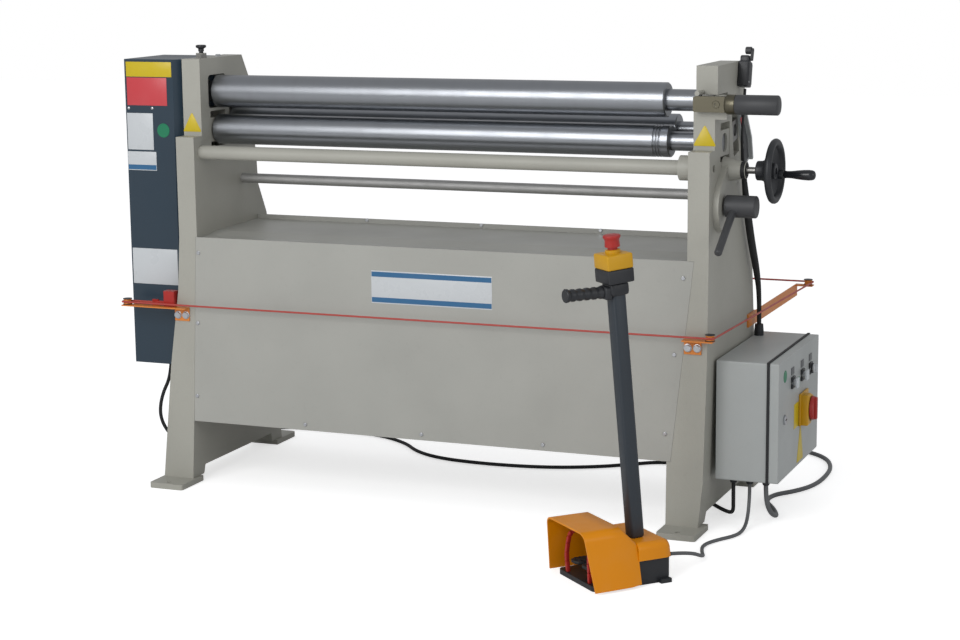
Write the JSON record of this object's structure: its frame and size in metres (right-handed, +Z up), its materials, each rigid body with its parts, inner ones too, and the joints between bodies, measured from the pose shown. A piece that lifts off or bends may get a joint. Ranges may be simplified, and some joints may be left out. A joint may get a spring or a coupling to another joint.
{
  "type": "powered slip roll",
  "caption": "Floor-standing powered slip roll that curves sheet metal between long rolls, with a pinch lever, a rear roll handwheel, a swing-out top roll, a control box and a pedal stand",
  "frame": {"origin": "on the floor at the centre of the four anchor holes", "axes": "+X along the rolls to the release end, +Y from the operator's side to the rear, +Z up"},
  "size_m": [1.9157, 1.5001, 1.1897],
  "materials": {
    "grey_paint": "warm grey enamel",
    "blue_paint": "dark blue enamel",
    "bracket_paint": "dark grey enamel",
    "orange_paint": "orange enamel",
    "ground_steel": "ground steel",
    "plain_steel": "turned steel",
    "zinc": "zinc plated",
    "black_plastic": "black plastic",
    "cable_black": "black cable sheath",
    "cable_grey": "grey cable sheath",
    "rope_red": "red plastic sheath over a steel strand",
    "red_plastic": "red plastic",
    "green_plastic": "green plastic",
    "yellow_plastic": "yellow plastic",
    "hood_orange": "amber plastic"
  },
  "bodies": {
    "stand": {"left_frame": "grey_paint", "right_frame": "grey_paint", "adjuster_cover": "grey_paint", "stand_panels": "grey_paint", "top_tray": "grey_paint", "panel_screws": "zinc", "gear_cover": "blue_paint", "drive_brackets": "bracket_paint", "gear_motor": "bracket_paint", "drive_chain": "plain_steel", "swivel_carrier": "blue_paint", "limit_switch": "black_plastic", "scale_plate": "plain_steel", "rope_brackets": "orange_paint", "rope_switch": "red_plastic", "safety_rope": "rope_red", "control_box": "grey_paint", "cable_glands": "black_plastic", "switch_conduit": "cable_black", "pedal_cable": "cable_black", "motor_cable": "cable_black", "supply_cable": "cable_grey", "pedal_base": "black_plastic", "pedal_hood": "hood_orange", "column": "black_plastic", "estop_box": "yellow_plastic"},
    "motor_drive": {"motor_sprocket": "plain_steel"},
    "drive_shaft": {"drive_shaft": "plain_steel"},
    "top_swing": {"swivel_ring": "ground_steel", "end_bearing": "ground_steel"},
    "top_roll": {"top_roll": "ground_steel"},
    "lower_carriage": {"lower_blocks": "grey_paint"},
    "lower_roll": {"lower_roll": "ground_steel"},
    "rear_carriage": {"rear_blocks": "ground_steel"},
    "rear_roll": {"rear_roll": "ground_steel"},
    "screw_left": {"lift_screw_left": "plain_steel"},
    "screw_right": {"lift_screw_right": "plain_steel"},
    "cross_shaft": {"cross_shaft": "plain_steel"},
    "idler": {"idler_gear": "plain_steel"},
    "handwheel": {"handwheel": "black_plastic", "wheel_shaft": "plain_steel"},
    "crank": {"crank_handle": "black_plastic"},
    "pinch": {"pinch_shaft": "grey_paint"},
    "lever": {"lever_hub": "black_plastic", "lever_rod": "black_plastic"},
    "keeper": {"keeper_gate": "ground_steel", "keeper_grip": "black_plastic"},
    "switch_arm": {"switch_lever": "plain_steel"},
    "plunger": {"plunger_knob": "black_plastic"},
    "door": {"box_door": "grey_paint", "switch_body": "yellow_plastic"},
    "main_switch": {"switch_handle": "red_plastic"},
    "start": {"start_button": "green_plastic"},
    "stop": {"stop_button": "red_plastic"},
    "selector": {"selector": "black_plastic"},
    "lock": {"door_lock": "plain_steel"},
    "pedal_left": {"pedal_left": "black_plastic"},
    "pedal_right": {"pedal_right": "black_plastic"},
    "estop": {"estop_button": "red_plastic"}
  },
  "joints": [
    {"name": "keeper_turn", "type": "hinge", "parent": "stand", "child": "keeper", "pos_m": [0.786, -0.23, 1.065], "axis": [0, -1, 0], "range_deg": [0, 90]},
    {"name": "top_roll_swing", "type": "hinge", "parent": "stand", "child": "top_swing", "pos_m": [-0.683, -0.125, 1.065], "axis": [0, 0, 1], "range_deg": [-4.5, 0]},
    {"name": "top_roll_spin", "type": "hinge", "parent": "top_swing", "child": "top_roll", "pos_m": [0, -0.125, 1.065], "axis": [1, 0, 0], "continuous": true},
    {"name": "drive_shaft_spin", "type": "hinge", "parent": "stand", "child": "drive_shaft", "pos_m": [-0.746, -0.125, 1.065], "axis": [1, 0, 0], "continuous": true},
    {"name": "motor_spin", "type": "hinge", "parent": "stand", "child": "motor_drive", "pos_m": [-0.746, -0.125, 0.68508], "axis": [1, 0, 0], "continuous": true},
    {"name": "pinch_lever", "type": "hinge", "parent": "stand", "child": "lever", "pos_m": [0.7975, -0.183, 0.813], "axis": [1, 0, 0], "range_deg": [0, 70.2]},
    {"name": "pinch_shaft_turn", "type": "hinge", "parent": "stand", "child": "pinch", "pos_m": [0, -0.222, 0.908], "axis": [1, 0, 0], "range_deg": [0, 9]},
    {"name": "lower_roll_lift", "type": "slide", "parent": "stand", "child": "lower_carriage", "axis": [0, 0, 1], "range_m": [0, 0.015]},
    {"name": "lower_roll_spin", "type": "hinge", "parent": "lower_carriage", "child": "lower_roll", "pos_m": [0, -0.125, 0.963], "axis": [1, 0, 0], "continuous": true},
    {"name": "handwheel_turn", "type": "hinge", "parent": "stand", "child": "handwheel", "pos_m": [0.8595, -0.125, 0.896], "axis": [1, 0, 0], "range_deg": [-2101, 2101]},
    {"name": "crank_spin", "type": "hinge", "parent": "handwheel", "child": "crank", "pos_m": [0.9035, -0.066, 0.882], "axis": [1, 0, 0], "continuous": true},
    {"name": "idler_spin", "type": "hinge", "parent": "stand", "child": "idler", "pos_m": [0.7775, -0.0607, 0.8555], "axis": [1, 0, 0], "range_deg": [-1226, 1226]},
    {"name": "cross_shaft_spin", "type": "hinge", "parent": "stand", "child": "cross_shaft", "pos_m": [0, 0.0036, 0.815], "axis": [1, 0, 0], "range_deg": [-2101, 2101]},
    {"name": "screw_left_spin", "type": "hinge", "parent": "stand", "child": "screw_left", "pos_m": [-0.676, -0.0304, 0.985], "axis": [0, -0.1961, 0.9806], "range_deg": [-2101, 2101]},
    {"name": "screw_right_spin", "type": "hinge", "parent": "stand", "child": "screw_right", "pos_m": [0.7415, -0.0304, 0.985], "axis": [0, -0.1961, 0.9806], "range_deg": [-2101, 2101]},
    {"name": "rear_roll_lift", "type": "slide", "parent": "stand", "child": "rear_carriage", "axis": [0, -0.1961, 0.9806], "range_m": [-0.035, 0.035]},
    {"name": "rear_roll_spin", "type": "hinge", "parent": "rear_carriage", "child": "rear_roll", "pos_m": [0, -0.0304, 0.985], "axis": [1, 0, 0], "continuous": true},
    {"name": "switch_lever_turn", "type": "hinge", "parent": "stand", "child": "switch_arm", "pos_m": [0.8035, 0.00863, 1.16305], "axis": [1, 0, 0], "range_deg": [-18, 18], "stiffness_Nm_per_rad": 0.3},
    {"name": "plunger_pull", "type": "slide", "parent": "stand", "child": "plunger", "axis": [0, 0, 1], "range_m": [0, 0.012], "stiffness_N_per_m": 1500, "springref_m": -0.01},
    {"name": "door_swing", "type": "hinge", "parent": "stand", "child": "door", "pos_m": [0.9175, 0.217, 0.2795], "axis": [0, 0, 1], "range_deg": [0, 120]},
    {"name": "main_switch_turn", "type": "hinge", "parent": "door", "child": "main_switch", "pos_m": [0.9415, 0.048, 0.271], "axis": [1, 0, 0], "range_deg": [0, 90]},
    {"name": "start_push", "type": "slide", "parent": "door", "child": "start", "axis": [-1, 0, 0], "range_m": [0, 0.005], "stiffness_N_per_m": 900, "springref_m": -0.002},
    {"name": "stop_push", "type": "slide", "parent": "door", "child": "stop", "axis": [-1, 0, 0], "range_m": [0, 0.005], "stiffness_N_per_m": 900, "springref_m": -0.002},
    {"name": "selector_turn", "type": "hinge", "parent": "door", "child": "selector", "pos_m": [0.9415, 0.124, 0.359], "axis": [1, 0, 0], "range_deg": [-45, 45]},
    {"name": "lock_turn", "type": "hinge", "parent": "door", "child": "lock", "pos_m": [0.9415, -0.142, 0.279], "axis": [1, 0, 0], "range_deg": [0, 90]},
    {"name": "pedal_left_push", "type": "hinge", "parent": "stand", "child": "pedal_left", "pos_m": [0.65762, -0.65137, 0.04], "axis": [0.7431, -0.6691, 0], "range_deg": [0, 12], "stiffness_Nm_per_rad": 6, "springref_deg": -8.59},
    {"name": "pedal_right_push", "type": "hinge", "parent": "stand", "child": "pedal_right", "pos_m": [0.69626, -0.68617, 0.04], "axis": [0.7431, -0.6691, 0], "range_deg": [0, 12], "stiffness_Nm_per_rad": 6, "springref_deg": -8.59},
    {"name": "estop_push", "type": "slide", "parent": "stand", "child": "estop", "axis": [0.0537, 0.0596, -0.9968], "range_m": [0, 0.006]}
  ],
  "couplings": [
    {"joint": "top_roll_swing", "follows": "keeper_turn", "ratio": -0.05},
    {"joint": "drive_shaft_spin", "follows": "top_roll_spin", "ratio": 1},
    {"joint": "motor_spin", "follows": "top_roll_spin", "ratio": 1.25},
    {"joint": "lower_roll_spin", "follows": "top_roll_spin", "ratio": -1},
    {"joint": "pinch_lever", "follows": "lower_roll_lift", "rad_per_m": 81.449},
    {"joint": "pinch_shaft_turn", "follows": "lower_roll_lift", "rad_per_m": 10.351},
    {"joint": "handwheel_turn", "follows": "rear_roll_lift", "rad_per_m": 1047.2},
    {"joint": "idler_spin", "follows": "rear_roll_lift", "rad_per_m": -610.87},
    {"joint": "cross_shaft_spin", "follows": "rear_roll_lift", "rad_per_m": 1047.2},
    {"joint": "screw_left_spin", "follows": "rear_roll_lift", "rad_per_m": 1047.2},
    {"joint": "screw_right_spin", "follows": "rear_roll_lift", "rad_per_m": -1047.2}
  ]
}
